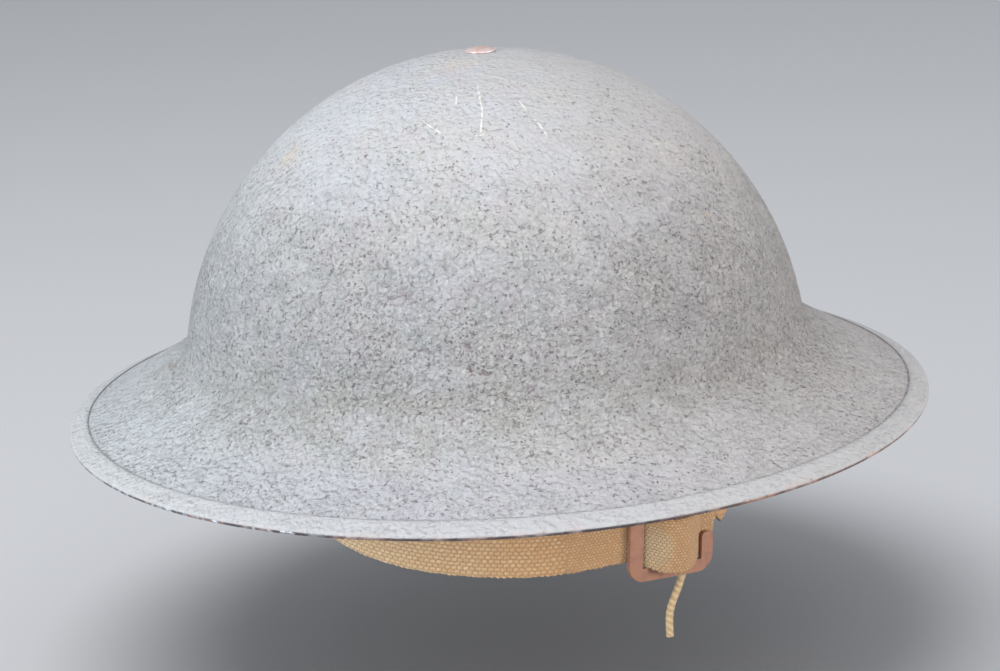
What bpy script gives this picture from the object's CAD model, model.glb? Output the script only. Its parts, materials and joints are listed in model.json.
import json
import random
from math import acos, asin, atan2, cos, hypot, pi, radians, sin, sqrt

import bmesh
import bpy
from mathutils import Matrix, Vector

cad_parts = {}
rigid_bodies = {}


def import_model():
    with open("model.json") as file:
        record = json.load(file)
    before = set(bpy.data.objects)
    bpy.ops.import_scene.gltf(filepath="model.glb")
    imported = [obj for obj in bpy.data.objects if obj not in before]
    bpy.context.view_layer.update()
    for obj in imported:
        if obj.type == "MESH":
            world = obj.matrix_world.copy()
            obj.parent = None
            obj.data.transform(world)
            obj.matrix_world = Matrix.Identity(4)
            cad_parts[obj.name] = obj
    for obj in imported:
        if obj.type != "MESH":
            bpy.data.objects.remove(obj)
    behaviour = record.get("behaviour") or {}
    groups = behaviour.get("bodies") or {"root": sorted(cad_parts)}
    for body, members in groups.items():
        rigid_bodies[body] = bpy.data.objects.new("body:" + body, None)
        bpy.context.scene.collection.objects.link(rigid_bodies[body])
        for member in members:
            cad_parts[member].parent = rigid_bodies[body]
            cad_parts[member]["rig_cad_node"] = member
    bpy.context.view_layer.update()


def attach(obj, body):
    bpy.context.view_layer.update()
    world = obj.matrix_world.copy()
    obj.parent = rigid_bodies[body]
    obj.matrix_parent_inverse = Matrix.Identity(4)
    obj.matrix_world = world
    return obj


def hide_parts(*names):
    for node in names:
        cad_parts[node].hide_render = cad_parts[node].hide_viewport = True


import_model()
random.seed(14)
MM = 0.001
scene = bpy.context.scene
scene.view_settings.view_transform = "Standard"

# The camera, fitted to the photo's rim ellipse, crown and strap. Its place is in mm
CAMERA_AT = Vector((66.159, -919.753, 256.973))
CAMERA_RIGHT = Vector((0.9970347, 0.0568337, -0.0518821))
CAMERA_UP = Vector((0.0360050, 0.2513264, 0.9672325))
CAMERA_FORWARD = Vector((-0.0680107, 0.9662324, -0.2485349))
SENSOR, LENS = 36, 102.49
NEAREST, FARTHEST = 0.05, 50

cam_data = bpy.data.cameras.new("camera")
cam_data.sensor_width = SENSOR
cam_data.lens = LENS
cam_data.clip_start, cam_data.clip_end = NEAREST, FARTHEST
cam = bpy.data.objects.new("camera", cam_data)
cam_turn = Matrix((CAMERA_RIGHT, CAMERA_UP, -CAMERA_FORWARD)).transposed().to_4x4()
cam.matrix_world = Matrix.Translation(CAMERA_AT * MM) @ cam_turn
scene.collection.objects.link(cam)
scene.camera = cam

# The bowl's outline, in mm: crown arc, side arc, fillet and brim arc, stretched into an oval
HALF_WIDTH, HALF_LENGTH = 143, 152.5
OVAL = HALF_LENGTH / HALF_WIDTH
STEEL = 0.95
CROWN_R, SIDE_R, FILLET_R, BRIM_R = 102.2, 105.1, 13.8, 245.0
CROWN_SWEEP, BRIM_SLOPE = radians(36.9), radians(24)
DOME_TOP = 116.3
crown_c = Vector((0, DOME_TOP - CROWN_R))
side_c = crown_c + Vector((sin(CROWN_SWEEP), cos(CROWN_SWEEP))) * (CROWN_R - SIDE_R)
brim_c = Vector((HALF_WIDTH, STEEL / 2)) + Vector((sin(BRIM_SLOPE), cos(BRIM_SLOPE))) * BRIM_R


def meet(a, ra, b, rb):
    """Where two circles cross, on the left of the way from a to b."""
    d = (b - a).length
    along = (ra * ra - rb * rb + d * d) / (2 * d)
    off = sqrt(ra * ra - along * along)
    u = (b - a) / d
    return a + u * along + Vector((-u.y, u.x)) * off


fillet_c = meet(brim_c, BRIM_R - FILLET_R, side_c, SIDE_R + FILLET_R)
wall = atan2(fillet_c.y - side_c.y, fillet_c.x - side_c.x)
toe = atan2(fillet_c.y - brim_c.y, fillet_c.x - brim_c.x)
rim = -pi / 2 - BRIM_SLOPE


def arc(centre, radius, a, b, step):
    n = max(2, int(abs(b - a) * radius / step))
    return [centre + Vector((cos(t), sin(t))) * radius
            for t in (a + (b - a) * i / n for i in range(n + 1))]


def bowl_line(inset, hole, edge, step=1.3):
    """Points of one face of the bowl, from the crown hole to a distance in from the rim."""
    start = acos(hole / (CROWN_R - inset))
    line = arc(crown_c, CROWN_R - inset, start, pi / 2 - CROWN_SWEEP, step)
    line += arc(side_c, SIDE_R - inset, pi / 2 - CROWN_SWEEP, wall, step)[1:]
    line += arc(fillet_c, FILLET_R + inset, wall + pi, toe + 2 * pi, step)[1:]
    line += arc(brim_c, BRIM_R + inset, toe, rim - edge / BRIM_R, step)[1:]
    return line


def on_brim(along, inset):
    """A point on the brim, by its distance in from the rim and below the outer face."""
    t = rim - along / BRIM_R
    return brim_c + Vector((cos(t), sin(t))) * (BRIM_R + inset)


def wall_at(z):
    """Half width inside the bowl at a height."""
    return side_c.x + sqrt((SIDE_R - STEEL) ** 2 - (z - side_c.y) ** 2)


# Meshes
def add_mesh(name, points, faces, body, nodes, material, uv=None):
    """A mesh from points in mm, riding on a body and standing for CAD nodes."""
    data = bpy.data.meshes.new(name)
    data.from_pydata([Vector(p) * MM for p in points], [], faces)
    if uv:
        layer = data.uv_layers.new(name="UVMap")
        for loop in data.loops:
            layer.data[loop.index].uv = uv[loop.vertex_index]
    bm = bmesh.new()
    bm.from_mesh(data)
    bmesh.ops.recalc_face_normals(bm, faces=bm.faces)
    bm.to_mesh(data)
    bm.free()
    data.polygons.foreach_set("use_smooth", [True] * len(data.polygons))
    data.materials.append(material)
    obj = bpy.data.objects.new(name, data)
    scene.collection.objects.link(obj)
    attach(obj, body)
    if nodes:
        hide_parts(*nodes)
    return obj


def skin(rows, n, closed=False):
    """Faces between neighbouring rows of n points, where each row is a ring."""
    faces = []
    for i in range(rows if closed else rows - 1):
        j = (i + 1) % rows
        for k in range(n):
            m = (k + 1) % n
            faces.append((i * n + k, j * n + k, j * n + m, i * n + m))
    return faces


def caps(rows, n):
    """The faces that close both ends of such a skin."""
    return [tuple(range(n)), tuple(range((rows - 1) * n, rows * n))[::-1]]


def lathe(profile, steps, stretch=OVAL, gap=0.0):
    """A closed (r, z) outline turned about the upright axis, with a gap at the back if asked."""
    start = pi / 2 + gap if gap else 0.0
    rings = steps + 1 if gap else steps
    points = []
    for i in range(rings):
        a = start + (2 * pi - 2 * gap) * i / steps
        points += [(r * cos(a), r * sin(a) * stretch, z) for r, z in profile]
    n = len(profile)
    if gap:
        return points, skin(rings, n) + caps(rings, n)
    return points, skin(rings, n, True)


def join_parts(parts):
    """Several (points, faces) pairs as one."""
    points, faces = [], []
    for p, f in parts:
        base = len(points)
        points += p
        faces += [tuple(i + base for i in face) for face in f]
    return points, faces


def rounded(w, h, r, cx, cy, n=4):
    """A rounded rectangle's outline, with n steps to a corner."""
    out = []
    for qx, qy, a in ((1, 1, 0), (-1, 1, pi / 2), (-1, -1, pi), (1, -1, 3 * pi / 2)):
        for i in range(n + 1):
            t = a + pi / 2 * i / n
            out.append((cx + qx * (w / 2 - r) + r * cos(t), cy + qy * (h / 2 - r) + r * sin(t)))
    return out


def tube(line, radius, sides=8, closed=False, wobble=None):
    """A round tube along a line of points."""
    line = [Vector(p) for p in line]
    n = len(line)
    points = []
    normal = None
    for i, p in enumerate(line):
        a = line[(i - 1) % n] if closed or i else p
        b = line[(i + 1) % n] if closed or i < n - 1 else p
        t = (b - a).normalized()
        if normal is None:
            normal = t.orthogonal().normalized()
        normal = (normal - t * normal.dot(t)).normalized()
        side = t.cross(normal)
        r = radius * (wobble(i) if wobble else 1)
        for k in range(sides):
            q = 2 * pi * k / sides
            points.append(p + (normal * cos(q) + side * sin(q)) * r)
    return points, skin(n, sides, closed) + ([] if closed else caps(n, sides))


def smooth_path(points, extra, step, pieces=24):
    """Points and their directions resampled evenly along a soft curve through them."""
    n = len(points)

    def at(values, i, t):
        p = [values[min(max(i + k, 0), n - 1)] for k in (-1, 0, 1, 2)]
        return 0.5 * (2 * p[1] + (p[2] - p[0]) * t
                      + (2 * p[0] - 5 * p[1] + 4 * p[2] - p[3]) * t * t
                      + (3 * p[1] - p[0] - 3 * p[2] + p[3]) * t * t * t)

    fine, dirs = [], []
    for i in range(n - 1):
        for s in range(pieces):
            fine.append(at(points, i, s / pieces))
            dirs.append(at(extra, i, s / pieces))
    fine.append(points[-1])
    dirs.append(extra[-1])
    total = [0]
    for a, b in zip(fine, fine[1:]):
        total.append(total[-1] + (b - a).length)
    count = max(2, int(total[-1] / step))
    out, k = [], 0
    for i in range(count + 1):
        want = total[-1] * i / count
        while k < len(total) - 2 and total[k + 1] < want:
            k += 1
        t = (want - total[k]) / max(total[k + 1] - total[k], 1e-9)
        heading = dirs[k].lerp(dirs[k + 1], t).normalized()
        out.append((fine[k].lerp(fine[k + 1], t), heading, want))
    return out


def uneven(i, j):
    """A steady number from 0 to 1 for one cell of a weave."""
    return sin(i * 12.9898 + j * 78.233) * 43758.5453 % 1


def plain(along):
    """No weave: UV in tens of mm."""
    return 10.0, 10.0, 0.0


# How a weave's cells differ: their start along the row, least height, spread and depth
CELL_START, CELL_LEAST, CELL_SPREAD, CELL_SINK = 0.16, 0.6, 0.75, 0.8
CELL_ROUND, EDGE_ROUND = 0.6, 2.4


def ribbon(points, hints, width, thick, step=0.42, across=50, cells=plain, edge=None,
           bulge=None, flap=None):
    """A flat strap along a path. Cells gives the weave's length, width and depth by place along.

    Edge adds to both edges, flap to the lower one, and bulge moves the whole width.
    """
    path = smooth_path([Vector(p) for p in points], [Vector(h) for h in hints], step)
    verts, uv = [], []
    n = len(path)
    phase, before = 0.0, 0.0
    for i, (p, w, along) in enumerate(path):
        a, b = path[max(i - 1, 0)][0], path[min(i + 1, n - 1)][0]
        t = (b - a).normalized()
        w = (w - t * w.dot(t)).normalized()
        out = t.cross(w)
        half = width / 2 + (edge(along) if edge else 0)
        lift = bulge(along) if bulge else Vector((0, 0, 0))
        long, wide, deep = cells(along)
        phase += (along - before) / long
        before = along
        for side in (1, -1):
            for k in range(across + 1):
                f = (k / across * 2 - 1) * side
                x = f * (half + (flap(along) if flap and f < 0 else 0))
                row = x / wide
                fall = max(0.0, abs(f) * half - (half - thick / 2)) / (thick / 2)
                body = thick / 2 * sqrt(max(0.0, 1 - fall ** EDGE_ROUND))
                line = row // 1
                shift = 0.5 if int(line) % 2 else 0.0
                u = phase + shift + CELL_START * uneven(line, 3)
                lump = max(0.0, sin(pi * (u % 1)) * sin(pi * (row % 1))) ** CELL_ROUND
                lump = lump * (CELL_LEAST + CELL_SPREAD * uneven(u // 1, line)) - CELL_SINK
                h = deep * lump * (1 - fall ** 3)
                verts.append(p + w * x + out * side * (body + h) + lift)
                uv.append((phase, row + 100))
    ring = 2 * (across + 1)
    return verts, skin(n, ring) + caps(n, ring), uv


# Materials
class Mat:
    """A small writer of shader nodes. Lengths are in mm."""

    def __init__(self, name):
        self.mat = bpy.data.materials.new(name)
        self.mat.use_nodes = True
        self.tree = self.mat.node_tree
        self.tree.nodes.clear()
        out = self.node("ShaderNodeOutputMaterial")
        self.shader = self.node("ShaderNodeBsdfPrincipled")
        self.link(self.shader.outputs[0], out.inputs[0])
        self.coords = self.node("ShaderNodeTexCoord")

    def node(self, kind):
        return self.tree.nodes.new(kind)

    def link(self, a, b):
        self.tree.links.new(a, b)

    def put(self, socket, value):
        if isinstance(value, bpy.types.NodeSocket):
            self.link(value, socket)
        elif isinstance(value, tuple) and len(value) == 3 and socket.type == "RGBA":
            socket.default_value = (*value, 1)
        else:
            socket.default_value = value

    def place(self, stretch=(1, 1, 1), turn=(0, 0, 0)):
        """The place on the object in mm, stretched and turned if asked."""
        m = self.node("ShaderNodeMapping")
        self.link(self.coords.outputs["Object"], m.inputs[0])
        m.inputs["Rotation"].default_value = turn
        m.inputs["Scale"].default_value = [s / MM for s in stretch]
        return m.outputs[0]

    def axis(self, which):
        n = self.node("ShaderNodeSeparateXYZ")
        self.link(self.place(), n.inputs[0])
        return n.outputs[which]

    def distance(self, spot):
        """How far a point of the surface is from a spot."""
        n = self.node("ShaderNodeVectorMath")
        n.operation = "DISTANCE"
        self.link(self.place(), n.inputs[0])
        n.inputs[1].default_value = spot
        return n.outputs["Value"]

    def noise(self, scale, detail=3, rough=0.5, where=None, distort=0.0):
        n = self.node("ShaderNodeTexNoise")
        self.put(n.inputs["Vector"], where or self.place())
        n.inputs["Scale"].default_value = scale
        n.inputs["Detail"].default_value = detail
        n.inputs["Roughness"].default_value = rough
        n.inputs["Distortion"].default_value = distort
        return n.outputs[0]

    def voronoi(self, scale, where=None, smooth=None):
        n = self.node("ShaderNodeTexVoronoi")
        n.feature = "F1" if smooth is None else "SMOOTH_F1"
        self.put(n.inputs["Vector"], where or self.place())
        n.inputs["Scale"].default_value = scale
        n.inputs["Randomness"].default_value = 1.0
        if smooth is not None:
            n.inputs["Smoothness"].default_value = smooth
        return n.outputs["Distance"]

    def wave(self, scale, where, distort):
        n = self.node("ShaderNodeTexWave")
        n.bands_direction = "X"
        n.wave_profile = "SIN"
        self.put(n.inputs["Vector"], where)
        n.inputs["Scale"].default_value = scale
        n.inputs["Distortion"].default_value = distort
        return n.outputs["Fac"]

    def span(self, value, low, high, to_low=0.0, to_high=1.0, soft=True):
        """One range of values as another, with soft or straight ends."""
        n = self.node("ShaderNodeMapRange")
        n.interpolation_type = "SMOOTHSTEP" if soft else "LINEAR"
        self.link(value, n.inputs["Value"])
        for key, v in (("From Min", low), ("From Max", high), ("To Min", to_low),
                       ("To Max", to_high)):
            n.inputs[key].default_value = v
        return n.outputs[0]

    def math(self, op, a, b=0.0, clamp=False):
        n = self.node("ShaderNodeMath")
        n.operation = op
        n.use_clamp = clamp
        for s, v in zip(n.inputs, (a, b)):
            self.put(s, v)
        return n.outputs[0]

    def plus(self, a, b, clamp=False):
        return self.math("ADD", a, b, clamp)

    def less(self, a, b):
        return self.math("SUBTRACT", a, b)

    def most(self, a, b):
        return self.math("MAXIMUM", a, b)

    def times(self, first, *others):
        for other in others:
            first = self.math("MULTIPLY", first, other)
        return first

    def mix(self, fac, a, b):
        n = self.node("ShaderNodeMix")
        n.data_type = "RGBA"
        self.put(n.inputs[0], fac)
        self.put(n.inputs[6], a)
        self.put(n.inputs[7], b)
        return n.outputs[2]

    def bump(self, height, distance, after=None):
        n = self.node("ShaderNodeBump")
        self.put(n.inputs["Height"], height)
        n.inputs["Strength"].default_value = 1.0
        n.inputs["Distance"].default_value = distance * MM
        if after is not None:
            self.link(after, n.inputs["Normal"])
        return n.outputs[0]

    def finish(self, color, rough, normal=None, metal=0.0, **more):
        s = self.shader.inputs
        self.put(s["Base Color"], color)
        self.put(s["Roughness"], rough)
        self.put(s["Metallic"], metal)
        if normal is not None:
            self.link(normal, s["Normal"])
        for key, value in more.items():
            self.put(s[key.replace("_", " ")], value)
        return self.mat


def dimmed(color, factor):
    return tuple(c * factor for c in color)


COOL_GREY, WARM_GREY = (0.502, 0.505, 0.530), (0.508, 0.502, 0.496)
GREEN_GREY, PINK_GREY = (0.490, 0.510, 0.490), (0.500, 0.462, 0.485)
CREAM, MAUVE = (0.525, 0.515, 0.470), (0.475, 0.470, 0.520)
BROWN_GREY, BLUE_GREY = (0.470, 0.440, 0.425), (0.500, 0.528, 0.542)
HOLLOW, CREST, CHIP = (0.300, 0.268, 0.285), (0.620, 0.615, 0.590), (0.190, 0.138, 0.158)


def paint(name, grit):
    """Pale grey roughcast paint. Grit 1 is the bowl, less is the smoother folded rim."""
    m = Mat(name)
    x, z = m.axis(0), m.axis(2)
    warp = m.node("ShaderNodeVectorMath")
    warp.operation = "ADD"
    m.link(m.place(stretch=(1, 1, 1.2)), warp.inputs[0])
    m.link(m.times(m.noise(0.5, 2, 0.5), 1.2), warp.inputs[1])
    where = warp.outputs[0]
    # sand in the paint: lumps, grains on them and a slow swell below, and a fine tooth
    lumps = m.span(m.voronoi(0.50, where, 0.30), 0.1, 0.75, 1.0, 0.0, False)
    grains = m.noise(0.52, 4, 0.62, where)
    swell = m.noise(0.30, 3, 0.55, where)
    tooth = m.noise(1.8, 3, 0.65)
    # slow patterns for the colour and for how thick the sand lies
    patch = m.noise(0.045, 3, 0.6)
    cloud = m.noise(0.085, 3, 0.6, m.place(stretch=(1, 1.2, 1.5), turn=(0.4, 0.2, 0.7)))
    blush = m.noise(0.11, 3, 0.6, m.place(turn=(1, 0.3, 0)))
    # the sand thins towards the crown and on the brim
    zone = m.times(m.span(z, 106, 40, 0.22, 1.0), m.span(z, 10, 27, 0.50, 1.0),
                   m.span(cloud, 0.35, 0.65, 0.8, 1.15))
    # small dark chips where grit has come away, and a few pits
    cut = m.plus(m.span(zone, 0.15, 0.9, 0.632, 0.604, False),
                 m.span(patch, 0.35, 0.65, 0.025, -0.015))
    chips = m.noise(0.66, 3, 0.6, m.place(stretch=(1, 1, 1.15)), 0.15)
    chips = m.span(m.less(chips, cut), 0.0, 0.045)
    pits = m.times(m.span(m.voronoi(0.50), 0.24, 0.12), m.span(m.noise(0.16, 3), 0.50, 0.56))
    dark = m.times(m.most(chips, pits), m.span(z, 117, 107))
    # greys in patches, cream round the fillet, mauve on the brim
    base = m.mix(m.span(patch, 0.36, 0.64), COOL_GREY, WARM_GREY)
    base = m.mix(m.times(m.span(cloud, 0.5, 0.66), 0.4), base, GREEN_GREY)
    base = m.mix(m.span(blush, 0.50, 0.68, 0.0, 0.6), base, PINK_GREY)
    fillet = m.times(m.span(z, 12, 22), m.span(z, 40, 27))
    base = m.mix(m.times(fillet, m.span(cloud, 0.35, 0.6, 0.1, 0.55)), base, CREAM)
    brim = m.times(m.span(z, 14, 9), m.span(patch, 0.42, 0.58, 0.2, 0.7))
    base = m.mix(brim, base, MAUVE)
    # browner towards the wearer's left, bluer towards the right
    base = m.mix(m.span(x, -30, 125, 0.0, 0.8), base, BROWN_GREY)
    base = m.mix(m.span(x, -20, -120, 0.0, 0.75), base, BLUE_GREY)
    # dirt between the grains and in the chips, wear on the grains' tops
    hollow = m.times(m.span(lumps, 0.42, 0.08), m.span(zone, 0.2, 1.0, 0.05, 0.26),
                     m.span(grains, 0.60, 0.42))
    base = m.mix(hollow, base, HOLLOW)
    crest = m.times(m.span(grains, 0.52, 0.66), m.span(zone, 0.2, 1.0, 0.1, 0.45))
    base = m.mix(crest, base, CREST)
    base = m.mix(m.times(dark, 0.70 * max(grit, 0.45)), base, CHIP)
    height = m.plus(m.times(lumps, 0.45), m.times(grains, 0.9))
    height = m.plus(height, m.times(swell, 0.5))
    height = m.times(m.less(height, m.times(dark, 0.18)), zone)
    normal = m.bump(height, 4.5 * grit)
    normal = m.bump(tooth, 0.30 * (0.4 + 0.6 * grit), normal)
    return m, base, normal, patch


# Scratches near the crown, seen from above in mm: from one point to another, and half width
SCRATCHES = [
    (0.9, -34.8, 1.6, -39.2, 0.22), (1.6, -39.2, 3.2, -49.9, 0.38),
    (3.2, -49.9, 2.9, -59.3, 0.4), (-5.3, -40.7, -5.3, -45.2, 0.33),
    (-16.0, -50.6, -12.6, -54.5, 0.3), (-12.6, -54.5, -9.0, -58.2, 0.34),
    (14.3, -43.3, 17.9, -49.6, 0.3), (17.9, -49.6, 20.4, -52.6, 0.24),
    (20.4, -52.6, 23.1, -56.9, 0.3), (1.3, -60.1, 4.0, -59.6, 0.3),
]
SCRATCH, GRIME = (0.78, 0.76, 0.70), (0.29, 0.26, 0.26)

# Smears, rust spots and the chips down the front: place and reach in mm, colour and amount
RUST_DARK = (0.20, 0.13, 0.15)
SPOTS = [
    ((-104.6, -23.7, 20.4), 4.0, (0.33, 0.24, 0.17), 0.7),
    ((-59.7, -34.2, 90.6), 7.0, (0.60, 0.47, 0.37), 0.5),
    ((71.9, -50.6, 69.3), 1.6, (0.75, 0.48, 0.28), 0.9),
    ((59.5, -39.7, 88.4), 9.0, (0.62, 0.58, 0.53), 0.6),
    ((-5.4, -16.9, 114.9), 9.0, (0.62, 0.50, 0.42), 0.45),
    ((-0.2, -104.6, 44.5), 1.8, RUST_DARK, 0.8),
    ((-0.2, -106.4, 38.0), 1.6, RUST_DARK, 0.7),
    ((-0.2, -107.8, 33.0), 1.7, RUST_DARK, 0.6),
    ((-0.6, -108.7, 29.2), 1.8, RUST_DARK, 0.7),
    ((-42.9, -100.4, 24.6), 1.5, (0.80, 0.80, 0.78), 0.9),
]


def shell_paint():
    m, base, normal, patch = paint("roughcast_paint", 1.0)
    plan = m.node("ShaderNodeSeparateXYZ")
    m.link(m.place(), plan.inputs[0])
    x, y = plan.outputs[0], plan.outputs[1]
    marks = None
    for ax, ay, bx, by, w in SCRATCHES:
        dx, dy = bx - ax, by - ay
        size = dx * dx + dy * dy
        px, py = m.less(x, ax), m.less(y, ay)
        t = m.plus(m.times(px, dx / size), m.times(py, dy / size), clamp=True)
        ox, oy = m.less(px, m.times(t, dx)), m.less(py, m.times(t, dy))
        apart = m.math("SQRT", m.plus(m.times(ox, ox), m.times(oy, oy)))
        mark = m.span(apart, w, w * 0.35)
        marks = mark if marks is None else m.most(marks, mark)
    high = m.times(m.span(m.axis(2), 60, 70), m.span(m.noise(0.5, 2), 0.36, 0.5))
    base = m.mix(m.times(m.times(marks, high), 0.95), base, SCRATCH)
    for spot, reach, color, amount in SPOTS:
        close = m.span(m.distance(spot), reach, reach * 0.3)
        close = m.times(close, m.span(m.noise(0.45, 4, 0.7), 0.40, 0.56), amount)
        base = m.mix(close, base, color)
    # grime along the folded rim's inner edge
    groove = m.times(m.span(m.axis(2), 4.1, 3.35),
                     m.span(m.noise(0.25, 4, 0.6), 0.35, 0.55, 0.05, 0.26))
    base = m.mix(groove, base, GRIME)
    return m.finish(base, m.span(patch, 0.3, 0.7, 0.62, 0.74), normal, Specular_IOR_Level=0.35)


def rim_paint():
    m, base, normal, patch = paint("rim_paint", 0.4)
    base = m.mix(0.55, base, (0.448, 0.448, 0.452))
    # worn to steel on the very edge, rusty towards the wearer's left
    x, z = m.axis(0), m.axis(2)
    worn = m.times(m.span(z, 0.75, 0.30), m.span(m.noise(0.22, 4, 0.7), 0.34, 0.50, 0.70, 1.0))
    bright = m.mix(m.span(m.noise(0.09, 3), 0.54, 0.64), (0.085, 0.070, 0.075),
                   (0.30, 0.19, 0.165))
    rust = m.mix(m.span(m.noise(0.1, 3), 0.45, 0.6), (0.16, 0.095, 0.085), (0.50, 0.27, 0.19))
    base = m.mix(worn, base, m.mix(m.span(x, 45, 105), bright, rust))
    pink = m.span(m.noise(0.07, 3, 0.6, m.place(turn=(0, 0, 1))), 0.56, 0.66, 0.0, 0.45)
    base = m.mix(m.times(pink, m.span(z, 2.4, 0.9)), base, (0.52, 0.42, 0.39))
    glint = m.times(m.span(x, -30, -60), m.span(m.noise(0.3, 3), 0.52, 0.60), worn)
    base = m.mix(glint, base, (0.62, 0.66, 0.74))
    return m.finish(base, m.span(worn, 0, 1, 0.65, 0.35), normal, m.times(glint, 0.8),
                    Specular_IOR_Level=0.35)


def bare(name, color, color2, rough=0.45, metal=0.9, bump=0.12):
    """Dull metal with darker patches."""
    m = Mat(name)
    patch = m.noise(0.25, 5, 0.65)
    fine = m.noise(1.6, 4, 0.6)
    base = m.mix(m.span(patch, 0.42, 0.62), color, color2)
    base = m.mix(m.span(fine, 0.62, 0.75, 0, 0.5), base, dimmed(color2, 0.45))
    return m.finish(base, m.span(patch, 0.3, 0.7, rough - 0.08, rough + 0.15),
                    m.bump(m.plus(fine, patch), bump), metal)


def webbing(name, color, color2, grime, redder, faded):
    """Woven cotton. Its UV counts the cells of the weave, every other row half a cell on.

    Redder has the x it starts and ends at and a colour, faded a spot, its reach and a colour.
    """
    m = Mat(name)
    uv = m.node("ShaderNodeSeparateXYZ")
    m.link(m.coords.outputs["UV"], uv.inputs[0])
    stray = m.times(m.less(m.noise(0.9, 3, 0.6), 0.5), 0.9)
    across = m.plus(uv.outputs[1], stray)
    row = m.math("FLOOR", across)
    u = m.plus(uv.outputs[0], m.times(m.math("MODULO", row, 2.0), 0.5))
    u = m.plus(u, m.times(stray, 0.7))
    lump = m.times(m.math("SINE", m.times(m.math("FRACT", u), pi)),
                   m.math("SINE", m.times(m.math("FRACT", across), pi)))
    strands = m.math("SINE", m.times(across, 6 * pi))
    fuzz = m.noise(2.4, 4, 0.75)
    tone = m.noise(0.12, 4, 0.6)
    cell = m.noise(0.7, 3, 0.6)
    base = m.mix(m.span(tone, 0.35, 0.65), color, color2)
    start, end, red = redder
    base = m.mix(m.span(m.axis(0), start, end, 0.0, 0.9), base, red)
    spot, reach, pale = faded
    base = m.mix(m.span(m.distance(spot), reach, reach * 0.4, 0.0, 0.8), base, pale)
    # paler yarns here and there, grime between the yarns
    yarn = tuple(min(1.0, c * 1.1 + 0.04) for c in color2)
    base = m.mix(m.times(m.span(cell, 0.42, 0.60, 0.0, 0.45), m.span(lump, 0.3, 0.8)), base, yarn)
    base = m.mix(m.span(lump, 0.50, 0.0, 0.0, 0.85), base, grime)
    base = m.mix(m.span(fuzz, 0.38, 0.62, 0.42, 0.0), base, grime)
    height = m.plus(m.times(strands, 0.2), fuzz)
    height = m.plus(height, m.times(lump, 0.8))
    return m.finish(base, 0.9, m.bump(height, 0.28), Sheen_Weight=0.2)


def leather(name, color, color2):
    m = Mat(name)
    cells = m.voronoi(1.1)
    tone = m.noise(0.05, 4, 0.6)
    base = m.mix(m.span(tone, 0.35, 0.65), color, color2)
    base = m.mix(m.span(cells, 0.1, 0.5, 0.3, 0.0), base, dimmed(color, 0.5))
    return m.finish(base, m.span(tone, 0.3, 0.7, 0.5, 0.7), m.bump(cells, 0.15))


def felt(name, color, color2):
    m = Mat(name)
    fibres = m.noise(0.9, 6, 0.75, m.place(stretch=(1, 0.5, 1)), 1.5)
    tone = m.noise(0.06, 3, 0.6)
    base = m.mix(m.span(tone, 0.35, 0.65), color, color2)
    base = m.mix(m.span(fibres, 0.4, 0.65, 0.0, 0.45), base, dimmed(color2, 0.55))
    return m.finish(base, 0.95, m.bump(fibres, 0.7), Sheen_Weight=0.4)


def rubber(name, color):
    m = Mat(name)
    dust = m.noise(0.18, 5, 0.7)
    base = m.mix(m.span(dust, 0.5, 0.7, 0, 0.45), color, (0.25, 0.21, 0.17))
    return m.finish(base, m.span(dust, 0.3, 0.7, 0.5, 0.75), m.bump(m.noise(0.9, 4), 0.12))


def twine(name, color, color2):
    """Strands laid together, as slanting bands in space."""
    m = Mat(name)
    lay = m.wave(0.17, m.place(turn=(0.6, 0.9, 0.4)), 3.0)
    fuzz = m.noise(1.3, 4, 0.7)
    base = m.mix(m.span(lay, 0.1, 0.8), color2, color)
    base = m.mix(m.span(fuzz, 0.5, 0.7, 0, 0.4), base, dimmed(color2, 0.5))
    return m.finish(base, 0.9, m.bump(m.plus(lay, fuzz), 0.3), Sheen_Weight=0.3)


shell_mat = shell_paint()
rim_mat = rim_paint()
copper = bare("copper", (0.70, 0.55, 0.53), (0.60, 0.41, 0.36), 0.38, 0.35, 0.08)
dull_steel = bare("dull_steel", (0.21, 0.19, 0.17), (0.14, 0.10, 0.075), 0.5, 0.7)
brown_steel = bare("browned_steel", (0.36, 0.170, 0.104), (0.29, 0.140, 0.095), 0.40, 0.12, 0.08)
web_mat = webbing("webbing", (0.77, 0.59, 0.35), (0.81, 0.65, 0.43), (0.42, 0.24, 0.11),
                  redder=(-60, 35, (0.64, 0.33, 0.135)),
                  faded=((50.0, -76.0, -31.0), 10.5, (0.76, 0.64, 0.42)))
band_mat = leather("oilcloth", (0.030, 0.026, 0.022), (0.055, 0.045, 0.035))
leather_mat = leather("liner_leather", (0.26, 0.15, 0.075), (0.19, 0.105, 0.05))
felt_mat = felt("felt", (0.42, 0.38, 0.31), (0.34, 0.30, 0.25))
wool_mat = felt("wadding", (0.36, 0.33, 0.28), (0.28, 0.255, 0.21))
rubber_mat = rubber("rubber", (0.085, 0.035, 0.025))
twine_tan = twine("net_twine", (0.52, 0.42, 0.27), (0.38, 0.29, 0.17))
thread_mat = twine("strap_thread", (0.66, 0.49, 0.285), (0.52, 0.36, 0.19))

# Shell, from the rivet's hole to where the folded rim's nose begins
FOLD_THICK, FOLD_ROOM, CROWN_HOLE = 0.6, 0.1, 2.1
TURNS = 480
nose = FOLD_THICK + FOLD_ROOM + STEEL / 2
outer, inner = (bowl_line(inset, CROWN_HOLE, nose) for inset in (0, STEEL))
profile = [tuple(p) for p in outer + inner[::-1]]
add_mesh("shell_skin", *lathe(profile, TURNS), "helmet", ["shell"], shell_mat)

# Rim strip, folded over the edge: its upper leg feathers down to the shell at its first points
LEG, BUTT_GAP, FEATHER = 7.2, 0.2, 0.19


def along_leg(inset, feather=0.0):
    return [on_brim(LEG - (LEG - nose) * i / 8, inset + feather * max(2 - i, 0)) for i in range(9)]


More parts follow.
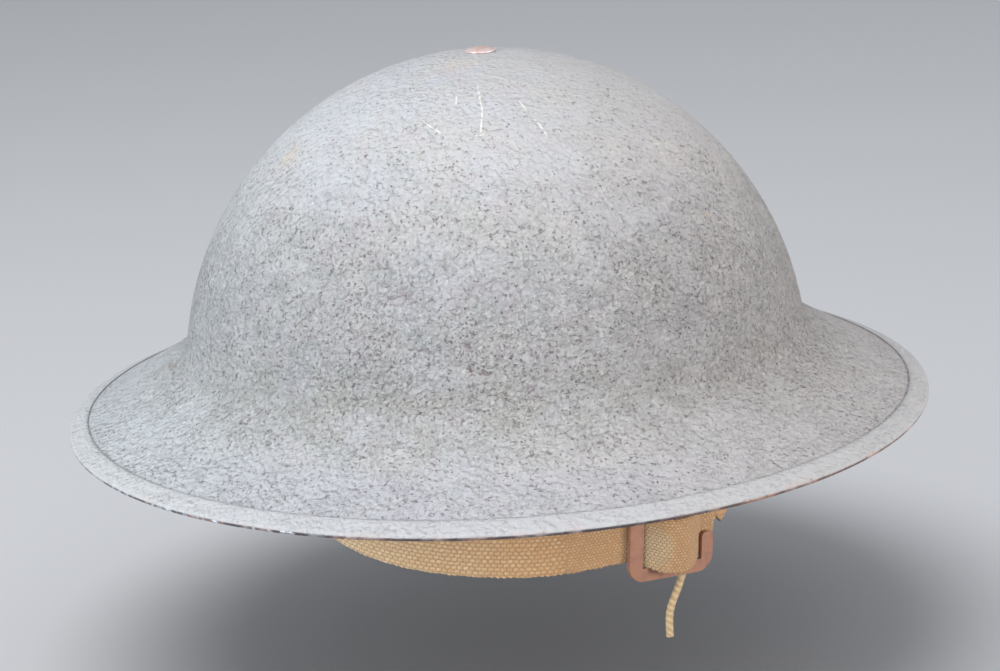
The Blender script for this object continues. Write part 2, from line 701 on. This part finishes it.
def around(centre, a, b, n):
    """Points round the rim's nose, between two points at equal distance."""
    start, end = a - centre, b - centre
    full = start.angle_signed(end)
    if full < 0:
        full += 2 * pi
    turns = [-full * i / n for i in range(1, n)]
    return [centre + Vector((start.x * cos(t) - start.y * sin(t),
                             start.x * sin(t) + start.y * cos(t))) for t in turns]


lip = along_leg(-FOLD_ROOM - FOLD_THICK, FEATHER)
flip = along_leg(STEEL + FOLD_ROOM + FOLD_THICK)
lip_in, flip_in = along_leg(-FOLD_ROOM), along_leg(STEEL + FOLD_ROOM)
hub = on_brim(nose, STEEL / 2)
ring_line = lip + around(hub, lip[-1], flip[-1], 14) + flip[::-1]
ring_line += flip_in + around(hub, lip_in[-1], flip_in[-1], 8)[::-1] + lip_in[::-1]
add_mesh("rim_strip", *lathe([tuple(p) for p in ring_line], TURNS, gap=BUTT_GAP / HALF_LENGTH),
         "helmet", ["rim_binding"], rim_mat)

# Liner, in mm. Touch is the gap between pieces that lie together
TOUCH, CROWN_ROOM = 0.15, 0.3
SPACER_R, SPACER_ROOM = 4.5, 0.35
BAND_LOW, BAND_HIGH, BAND_THICK = 18, 50, 1.6
WAD_LOW, WAD_HIGH, WAD_THICK, WAD_QUILT = 23, 48.5, 2.2, 0.22
band_out = wall_at(BAND_HIGH) - SPACER_ROOM - SPACER_R - SPACER_R - TOUCH
wad_out = band_out - BAND_THICK - TOUCH


def band_ring(outer_x, thick, low, high, quilt=0.0, steps=240):
    """An upright oval band with rounded edges, quilted on its inner face if asked."""
    middle = outer_x - thick / 2
    outline = rounded(thick, high - low, thick * 0.42, middle, (high + low) / 2)
    points = []
    for i in range(steps):
        a = 2 * pi * i / steps
        nx, ny = cos(a), sin(a) / OVAL
        size = hypot(nx, ny)
        for r, z in outline:
            off = r - middle
            if quilt and off < 0:
                off *= 1 - quilt * (0.5 - 0.5 * cos(a * 24))
            points.append((middle * cos(a) + off * nx / size,
                           middle * OVAL * sin(a) + off * ny / size, z))
    return points, skin(steps, len(outline), True)


add_mesh("oilcloth_band", *band_ring(band_out, BAND_THICK, BAND_LOW, BAND_HIGH), "helmet",
         ["head_band"], band_mat)
wad = add_mesh("soft_band", *band_ring(wad_out, WAD_THICK, WAD_LOW, WAD_HIGH, WAD_QUILT),
               "helmet", ["wadding_band"], wool_mat)

# Stitches that hold the two bands together, in two rows
STITCHES, STITCH_R = 132, 0.32
STITCH = ((-0.012, 0.0), (-0.006, 0.05), (0.006, 0.05), (0.012, 0.0))
parts = []
stitch_out = wad_out - WAD_THICK - 0.05
for row in (25.5, 46.0):
    for i in range(STITCHES):
        a = 2 * pi * (i + 0.5) / STITCHES
        line = [(stitch_out * cos(a + s), stitch_out * OVAL * sin(a + s), row + d)
                for s, d in STITCH]
        parts.append(tube(line, STITCH_R, 6))
add_mesh("band_stitches", *join_parts(parts), "helmet", (), twine_tan)

# Leather crown straps: an arc under the crown, a bend, and a straight end outside the band
LEATHER, LEATHER_WIDTH, LEATHER_TOP = 1.5, 25, 50.1
LAYER = LEATHER + TOUCH
for node, drop, along_y in (("crown_strap_long", 0.0, True), ("crown_strap_cross", LAYER, False)):
    size = CROWN_R - STEEL - CROWN_ROOM - drop
    reach = band_out + TOUCH + LEATHER
    rise = LEATHER_TOP - crown_c.y
    bend = (size ** 2 - reach ** 2 - rise ** 2) / (2 * (size - reach))
    join = atan2(rise, reach - bend)
    half = arc(crown_c, size - LEATHER / 2, pi / 2, join, 4)
    half += arc(Vector((reach - bend, LEATHER_TOP)), bend - LEATHER / 2, join, 0, 3)[1:]
    half += [Vector((reach - LEATHER / 2, z)) for z in (46, 42, 38, 34)]
    line = [(-p.x, p.y) for p in half[::-1]] + [(p.x, p.y) for p in half[1:]]
    pts = [Vector((0, a * OVAL, b)) if along_y else Vector((a, 0, b)) for a, b in line]
    hint = Vector((1, 0, 0)) if along_y else Vector((0, 1, 0))
    verts, faces, uv = ribbon(pts, [hint] * len(pts), LEATHER_WIDTH, LEATHER, 1.5, 16)
    moved = []
    for v in verts:
        off = v.x if along_y else v.y
        inward = Vector((0, -v.y, 0) if along_y else (-v.x, 0, 0))
        inward.z = min(crown_c.y - v.z, 0)
        moved.append(v + inward.normalized() * (off * off / (2 * size)))
    add_mesh(node + "_leather", moved, faces, "helmet", [node], leather_mat, uv)

# Felt pad: a puffed ring under the straps
PAD_HALF, PAD_HOLE, PAD_WIDE, PAD_STEPS = 3, 12, 36, 24
pad_mid = CROWN_R - STEEL - CROWN_ROOM - LAYER - LEATHER - CROWN_ROOM - PAD_HALF
pad_line = []
for i in range(PAD_STEPS + 1):
    t = i / PAD_STEPS
    pad_line.append((acos((PAD_HOLE + PAD_WIDE * t) / pad_mid), PAD_HALF * sin(pi * t) ** 0.35))
ring = [crown_c + Vector((cos(a), sin(a))) * (pad_mid + p) for a, p in pad_line]
ring += [crown_c + Vector((cos(a), sin(a))) * (pad_mid - p) for a, p in pad_line[::-1]]
pad = add_mesh("crown_pad", *lathe([tuple(p) for p in ring], 160), "helmet", ["felt_pad"],
               felt_mat)

# Knotted net and its drawstring: from its foot to its eye, on a sphere stretched like the bowl
NET_FOOT, NET_TOP, NET_EYE, STRAND_R = 43.0, 86.0, 20.0, 0.8
STRANDS, LEVELS, STRAND_STEPS = 24, 6, 36
KNOT_R, LAST_KNOT_R, KNOT_IN = 1.25, 1.0, 0.45
net_out = wad_out - WAD_THICK - TOUCH
net_z = (net_out ** 2 + NET_FOOT ** 2 - NET_EYE ** 2 - NET_TOP ** 2) / (2 * (NET_FOOT - NET_TOP))
net_r = hypot(net_out, NET_FOOT - net_z) - STRAND_R
low_a, high_a = asin((NET_FOOT - net_z) / net_r), acos(NET_EYE / net_r)


def on_net(t, a):
    e = low_a + (high_a - low_a) * t
    return Vector((net_r * cos(e) * cos(a), net_r * cos(e) * sin(a) * OVAL,
                   net_z + net_r * sin(e)))


parts = []
for i in range(STRANDS):
    for way in (1, -1):
        lean = way * pi * LEVELS / STRANDS
        line = [on_net(s / STRAND_STEPS, 2 * pi * i / STRANDS + lean * s / STRAND_STEPS)
                for s in range(STRAND_STEPS + 1)]
        parts.append(tube(line, STRAND_R * 0.85, 7))
for level in range(LEVELS + 1):
    for i in range(STRANDS):
        knot = bmesh.new()
        bmesh.ops.create_icosphere(knot, subdivisions=2,
                                   radius=KNOT_R if level < LEVELS else LAST_KNOT_R)
        c = on_net(level / LEVELS, 2 * pi * (i + level / 2) / STRANDS)
        c = c - Vector((c.x, c.y, c.z - net_z)).normalized() * KNOT_IN
        parts.append(([v.co + c for v in knot.verts],
                      [tuple(v.index for v in f.verts) for f in knot.faces]))
        knot.free()
for t in (0.0, 1.0):
    parts.append(tube([on_net(t, 2 * pi * i / 120) for i in range(120)], STRAND_R, 8, True))
add_mesh("knotted_net", *join_parts(parts), "helmet", ["twine_net"], twine_tan)

DRAW_R, DRAW_CORD_R, DRAW_STEPS = NET_EYE - 2.0 - 0.2, 1.2, 140
cord_ring = [Vector((DRAW_R * cos(a), DRAW_R * sin(a) * OVAL, NET_TOP - STRAND_R))
             for a in (2 * pi * i / DRAW_STEPS for i in range(DRAW_STEPS))]
add_mesh("draw_cord",
         *tube(cord_ring, DRAW_CORD_R, 10, True, lambda i: 0.94 + 0.06 * sin(i * 0.9)),
         "helmet", ["net_drawstring"], twine_tan)

# Rubber tubes, each upright against the band
SPACERS, SPACER_FIT = 12, 0.97
SPACER_WALL, SPACER_TALL, SPACER_CORNER, SPACER_Z = 2.0, 20.0, 0.55, 39.5
tube_wall = rounded(SPACER_WALL, SPACER_TALL, SPACER_CORNER, SPACER_R - SPACER_WALL / 2, SPACER_Z)
for number in range(SPACERS):
    a = radians((number + 0.5) * 360 / SPACERS)
    nx, ny = cos(a) / band_out, sin(a) / (band_out * OVAL)
    size = hypot(nx, ny)
    out = TOUCH + SPACER_R
    cx = band_out * cos(a) + out * nx / size
    cy = band_out * OVAL * sin(a) + out * ny / size
    name = f"spacer_{number + 1:02d}"
    pts, faces = lathe(tube_wall, 40, 1.0)
    pts = [(cx + x * SPACER_FIT, cy + y * SPACER_FIT, z) for x, y, z in pts]
    add_mesh(name + "_tube", pts, faces, "helmet", [name], rubber_mat)

# Chinstrap. The buckle's own axes: along it, up it and out of its face, in mm
BUCKLE_TURN, BUCKLE_TILT = radians(38), radians(5)
BUCKLE_AT = Vector((56.6, -66.2, -29.1))
b_along = Vector((cos(BUCKLE_TURN) * cos(BUCKLE_TILT), sin(BUCKLE_TURN) * cos(BUCKLE_TILT),
                  -sin(BUCKLE_TILT)))
b_out = Vector((sin(BUCKLE_TURN), -cos(BUCKLE_TURN), 0))
b_up = b_out.cross(b_along)


def at_buckle(along, high, out):
    return BUCKLE_AT + b_along * along + b_up * high + b_out * out


# The way round the brow, an arc about a point behind it, low in front and higher at its end
BROW_R, BROW_BACK, BROW_END = 79, -8, 54.5
BROW_Z, BROW_END_RISE, BROW_LEAN, BROW_LEFT_RISE = -25.65, 10, 0.0716, 4.5
BROW_SWEEP, BROW_STOPS = 76.5, 12


def brow(angle):
    x = BROW_R * sin(radians(angle))
    lift = BROW_LEFT_RISE * (max(x, 0) / BROW_R) ** 2
    z = BROW_Z + BROW_END_RISE * abs(angle / BROW_END) ** 3 - BROW_LEAN * x + lift
    return Vector((x, BROW_BACK - BROW_R * cos(radians(angle)), z))


# The lugs: height of the rivet, half the bracket's height, and the pieces from the wall inwards
LUG_Z, LUG_HALF, LUG_LAYERS = 30, 5, (0.1, 1.5, 0.3, 1.2)
PIN_REACH, LOOP_REACH, FOLD_REACH = 11, 10, 34
bracket_mid = wall_at(LUG_Z + LUG_HALF)
for layer in LUG_LAYERS:
    bracket_mid -= layer


def lug(side, towards):
    """Where a wire loop's bar lies, which way the strap leaves it, and which way it lies flat."""
    pivot = Vector((side * bracket_mid, 0, LUG_Z))
    drop = atan2(pivot.z - towards.z, pivot.y - towards.y)
    across = Vector((0, -sin(drop), cos(drop)))
    pin = pivot + Vector((0, -cos(drop), -sin(drop))) * PIN_REACH
    run = (towards - pin).normalized()
    side_out = run.cross(across)
    if side_out.x * side < 0:
        side_out = -side_out
    return pin + run * LOOP_REACH, run, across, side_out


def fold_path(bar, run, across, side_out):
    """The doubled end of a strap half, round its loop's bar."""
    places = [(24, -0.95), (17, -0.95), (10, -1.0), (5, -1.6), (1.2, -2.25), (-1.5, -1.9),
              (-2.4, 0), (-1.5, 1.9), (1.2, 2.25), (5, 1.6), (10, 1.0), (17, 0.95), (24, 0.95),
              (30, 0.2)]
    return [bar + run * a + side_out * b for a, b in places], [across] * len(places)


WEB_WIDTH, WEB_THICK, FOLD_WEB_THICK, FRAY_WIDTH = 17.6, 1.8, 1.7, 16.8
# How high the webbing's end lies in the buckle, and how high it climbs before that
WEB_RISE, WEB_CLIMB = 0.4, 1.6
COARSE, FINE = (1.9, 1.3, 0.30), (1.25, 0.92, 0.2)


def weave(along):
    return COARSE


def two_weaves(change):
    """Coarse weave round the brow, finer where the end has been folded over the bar."""
    return lambda along: COARSE if along < change else FINE


def sag(change):
    """How the webbing drops past the left bar and hangs where it bulges over the middle one."""
    def drop(along):
        past = min(max((along - change - 20) / 8, 0), 1)
        hang = sin(pi * min(max((along - change - 22) / 37, 0), 1)) ** 1.5
        return b_up * ((WEB_RISE - WEB_CLIMB) * past * past * (3 - 2 * past) - 3.0 * hang)
    return drop


def scallop(along):
    """An edge with a turn of yarn in every cell of the weave."""
    turns = 0.17 * sin(2 * pi * along / COARSE[0])
    return turns + 0.10 * sin(along * 0.83) + 0.06 * sin(along * 2.9)


def ragged(end):
    """A worn edge that gets more torn over the last 14 mm."""
    def wear(along):
        near = max(0.0, 1 - abs(end - along) / 14)
        return scallop(along) + near * (0.30 * sin(along * 1.7) + 0.28 * sin(along * 4.1 + 1) - 0.1)
    return wear


# The torn strip, by the distance back from the fold: a notch, then the strip to its far end
NOTCH_START, FLAP_START, FLAP_END, FLAP_FADE = 5.2, 8.8, 26, 8
NOTCH_DEEP, FLAP_LEAST, FLAP_GROWS = -0.9, 3.0, 2.0


def torn_flap(end):
    """A strip torn half free along the lower edge, a little way short of the fold."""
    def reach(along):
        back = end - along
        if back < FLAP_START or back > FLAP_END:
            return NOTCH_DEEP if NOTCH_START < back < FLAP_START else 0.0
        wide = FLAP_LEAST + min(FLAP_GROWS, 0.5 * (back - FLAP_START))
        wide += 0.35 * sin(along * 2.3) + 0.3 * sin(along * 5.1)
        return wide * min(1.0, (FLAP_END - back) / FLAP_FADE)
    return reach


def length_to(points):
    return sum((Vector(b) - Vector(a)).length for a, b in zip(points, points[1:]))


def frayed_end(at, along, high, out, count):
    """Loose ends of cotton past a cut end of webbing."""
    parts = []
    for i in range(count):
        y = (i + 0.5) / count * FRAY_WIDTH - FRAY_WIDTH / 2 + random.uniform(-0.2, 0.2)
        size = random.uniform(0.5, 1.7)
        bend = random.uniform(-0.7, 0.7)
        start = at + high * y + out * random.uniform(-0.5, 0.5) - along * 0.3
        line = [start, start + along * size * 0.5 + high * bend * 0.15,
                start + along * size + high * bend]
        parts.append(tube(line, random.uniform(0.10, 0.2), 5))
    points, faces = join_parts(parts)
    return points, faces, [(p.y, p.z) for p in points]


def strap_object(name, pieces, node):
    points, faces = join_parts([piece[:2] for piece in pieces])
    uvs = [uv for piece in pieces for uv in piece[2]]
    add_mesh(name, points, faces, "chinstrap", [node], web_mat, uvs)


# The long half: from the wearer's right lug round the brow, behind the left bar, over the
# middle bar and behind the hook
PLATE_HALF, WEB_GAP = 0.7, 0.2
behind = -PLATE_HALF - WEB_GAP - WEB_THICK / 2
over = PLATE_HALF + WEB_GAP + WEB_THICK + WEB_GAP + WEB_THICK / 2 + 1.0
bar, run, across, side_out = lug(-1, brow(-BROW_END))
pts, hints = fold_path(bar, run, across, side_out)
pts.append((brow(-BROW_END) + bar + run * FOLD_REACH) / 2)
hints.append(across)
for k in range(BROW_STOPS):
    a = -BROW_END + BROW_SWEEP * k / (BROW_STOPS - 1)
    lean = (a / BROW_END) ** 2 if a < 0 else 0
    pts.append(brow(a))
    hints.append(Vector((0, 0, 1)) * (1 - lean) + across * lean)
at_bar = length_to(pts) - 6
for along, out in ((-14.0, behind), (-11.2, behind + 0.1), (-8.0, 1.7), (-4.7, over - 0.2),
                   (-0.9, over + 0.3), (3.0, over), (7.9, 1.9), (12.0, behind + 0.05),
                   (14.8, behind), (17.4, behind)):
    pts.append(at_buckle(along, WEB_CLIMB, out))
    hints.append(b_up)
long_piece = ribbon(pts, hints, WEB_WIDTH, WEB_THICK, cells=two_weaves(at_bar), edge=scallop,
                    bulge=sag(at_bar))
fringe = frayed_end(at_buckle(17.2, WEB_RISE, behind), b_along, b_up, b_out, 34)
strap_object("webbing_long", [long_piece, fringe], "chinstrap_long")

# The short half: from the wearer's left lug to a knee behind the buckle, and folded round
# the middle bar, as places along and out from the buckle
double = behind - WEB_THICK / 2 - WEB_GAP - WEB_THICK
knee = at_buckle(12.5, 0, double)
bar, run, across, side_out = lug(1, knee)
pts, hints = fold_path(bar, run, across, side_out)
short_across = b_out.cross(run).normalized()
if short_across.dot(across) < 0:
    short_across = -short_across
start = bar + run * FOLD_REACH
for k in range(6):
    pts.append(start.lerp(knee, k / 5))
    hints.append(across.lerp(short_across, k / 5))
torn = length_to(pts)
main = ribbon(pts, hints, WEB_WIDTH, WEB_THICK, cells=weave, edge=ragged(torn),
              flap=torn_flap(torn))
places = [(14.2, -3.8), (11.7, -3.75), (7.0, -1.15), (2.6, 1.75), (0, 1.85), (-2.4, 1.75),
          (-3.35, 0), (-2.4, -1.75), (0, -1.85), (2.6, -1.95), (7.0, -4.1), (11.7, -5.55),
          (14.2, -5.6)]
fold = ribbon([at_buckle(a, 0, b) for a, b in places], [b_up] * len(places), WEB_WIDTH,
              FOLD_WEB_THICK, cells=weave, edge=scallop)
strap_object("webbing_short", [main, fold], "chinstrap_short")

# Loose thread, as places along, up and out from the buckle
THREAD_ROUTE = [(12.3, -0.9, -7.3), (12.9, -7.4, -8.0), (10.9, -13.9, -6.2),
                (6.9, -19.0, -3.7), (2.9, -24.3, -2.4), (1.8, -29.2, -1.9), (2.5, -34.4, -1.8)]
THREAD_R, THREAD_THIN, THREAD_FULL_AT = 1.2, 0.86, 24
data = bpy.data.curves.new("loose_thread", "CURVE")
data.dimensions = "3D"
spline = data.splines.new("NURBS")
spline.points.add(len(THREAD_ROUTE) - 1)
for point, place in zip(spline.points, THREAD_ROUTE):
    point.co = (*(at_buckle(*place) * MM), 1)
    point.radius = THREAD_THIN + (1 - THREAD_THIN) * min(1, -place[1] / THREAD_FULL_AT)
spline.order_u = 3
spline.use_endpoint_u = True
spline.resolution_u = 12
data.bevel_depth = THREAD_R * MM
data.bevel_resolution = 4
data.use_fill_caps = True
data.materials.append(thread_mat)
thread = bpy.data.objects.new("loose_thread", data)
scene.collection.objects.link(thread)
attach(thread, "chinstrap")
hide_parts("hanging_thread")

# its real length, from the curve's own pieces
stops = [Vector(place) for place in THREAD_ROUTE]
joints = [stops[0]] + [(a + b) / 2 for a, b in zip(stops[1:-2], stops[2:-1])] + [stops[-1]]
samples = []
for a, c, b in zip(joints, stops[1:-1], joints[1:]):
    samples += [a * (1 - t) ** 2 + c * 2 * t * (1 - t) + b * t * t
                for t in (k / 40 for k in range(41))]


# Metal pieces kept from the CAD
def dress(node, material, width=0.0):
    """A CAD node's own object gets its finish, and soft edges if asked."""
    obj = next(o for o in scene.objects if o.get("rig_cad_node") == node)
    obj.data.materials.clear()
    obj.data.materials.append(material)
    for polygon in obj.data.polygons:
        polygon.material_index = 0
    if width:
        bevel = obj.modifiers.new("edges", "BEVEL")
        bevel.width = width * MM
        bevel.segments = 3
        bevel.limit_method = "ANGLE"
        bevel.angle_limit = radians(35)
        bevel.harden_normals = True


dress("crown_rivet", copper)
dress("crown_washer", dull_steel, 0.15)
dress("lug_rivets", shell_mat)
dress("lug_washers", dull_steel, 0.15)
for hand in ("left", "right"):
    dress(f"lug_bracket_{hand}", dull_steel, 0.2)
    dress(f"strap_loop_{hand}", dull_steel)
dress("buckle", brown_steel, 0.28)

# Floor, world and lamps, in metres
FLOOR_Z, FLOOR_SIZE = -0.085, 6
WORLD_COLOR, WORLD_POWER = (0.90, 0.94, 1.0, 1), 0.46
FLOOR_PALE, FLOOR_DARK = (0.76, 0.76, 0.77), (0.52, 0.51, 0.50)
bm = bmesh.new()
bmesh.ops.create_grid(bm, x_segments=40, y_segments=40, size=FLOOR_SIZE)
floor_data = bpy.data.meshes.new("floor")
bm.to_mesh(floor_data)
bm.free()
floor = bpy.data.objects.new("floor", floor_data)
floor.location.z = FLOOR_Z
scene.collection.objects.link(floor)

# pale to the camera, mirrors and glass, darker to everything else
fm = Mat("floor")
path = fm.node("ShaderNodeLightPath")
look = fm.most(path.outputs["Is Camera Ray"], path.outputs["Is Glossy Ray"])
look = fm.most(look, path.outputs["Is Transmission Ray"])
floor_data.materials.append(fm.finish(fm.mix(look, FLOOR_DARK, FLOOR_PALE), 0.9))

world = bpy.data.worlds.new("world")
scene.world = world
world.use_nodes = True
background = world.node_tree.nodes["Background"]
background.inputs[0].default_value = WORLD_COLOR
background.inputs[1].default_value = WORLD_POWER


def lamp(name, place, aim, size, power, color):
    data = bpy.data.lights.new(name, "AREA")
    data.shape = "DISK"
    data.size = size
    data.energy = power
    data.color = color
    obj = bpy.data.objects.new(name, data)
    obj.location = place
    obj.rotation_mode = "QUATERNION"
    obj.rotation_quaternion = (Vector(aim) - Vector(place)).to_track_quat("-Z", "Y")
    scene.collection.objects.link(obj)
    return obj


lamp("sky", (-0.3, -0.2, 1.4), (0, 0, 0.05), 1.3, 12, (0.97, 0.98, 1.0))
side_lamps = [
    lamp("window", (-1.5, -1.1, 0.55), (0, 0, 0.05), 0.6, 22, (0.89, 0.955, 1.0)),
    lamp("left", (-1.3, -1.5, 0.25), (0, -0.05, -0.02), 0.6, 12, (0.97, 0.98, 1.0)),
    lamp("right", (1.7, -0.6, 0.25), (0, 0, 0.05), 0.8, 22, (1.0, 0.985, 0.97)),
    lamp("front", (0.65, -2.1, 0.36), (0.02, -0.08, -0.03), 0.8, 10.5, (1.0, 0.965, 0.92)),
]
# the side lamps stand close to the floor, so they leave it to the one above
spared = bpy.data.collections.new("not lit from the side")
spared.objects.link(floor)
spared.collection_objects[0].light_linking.link_state = "EXCLUDE"
for side_lamp in side_lamps:
    side_lamp.light_linking.receiver_collection = spared
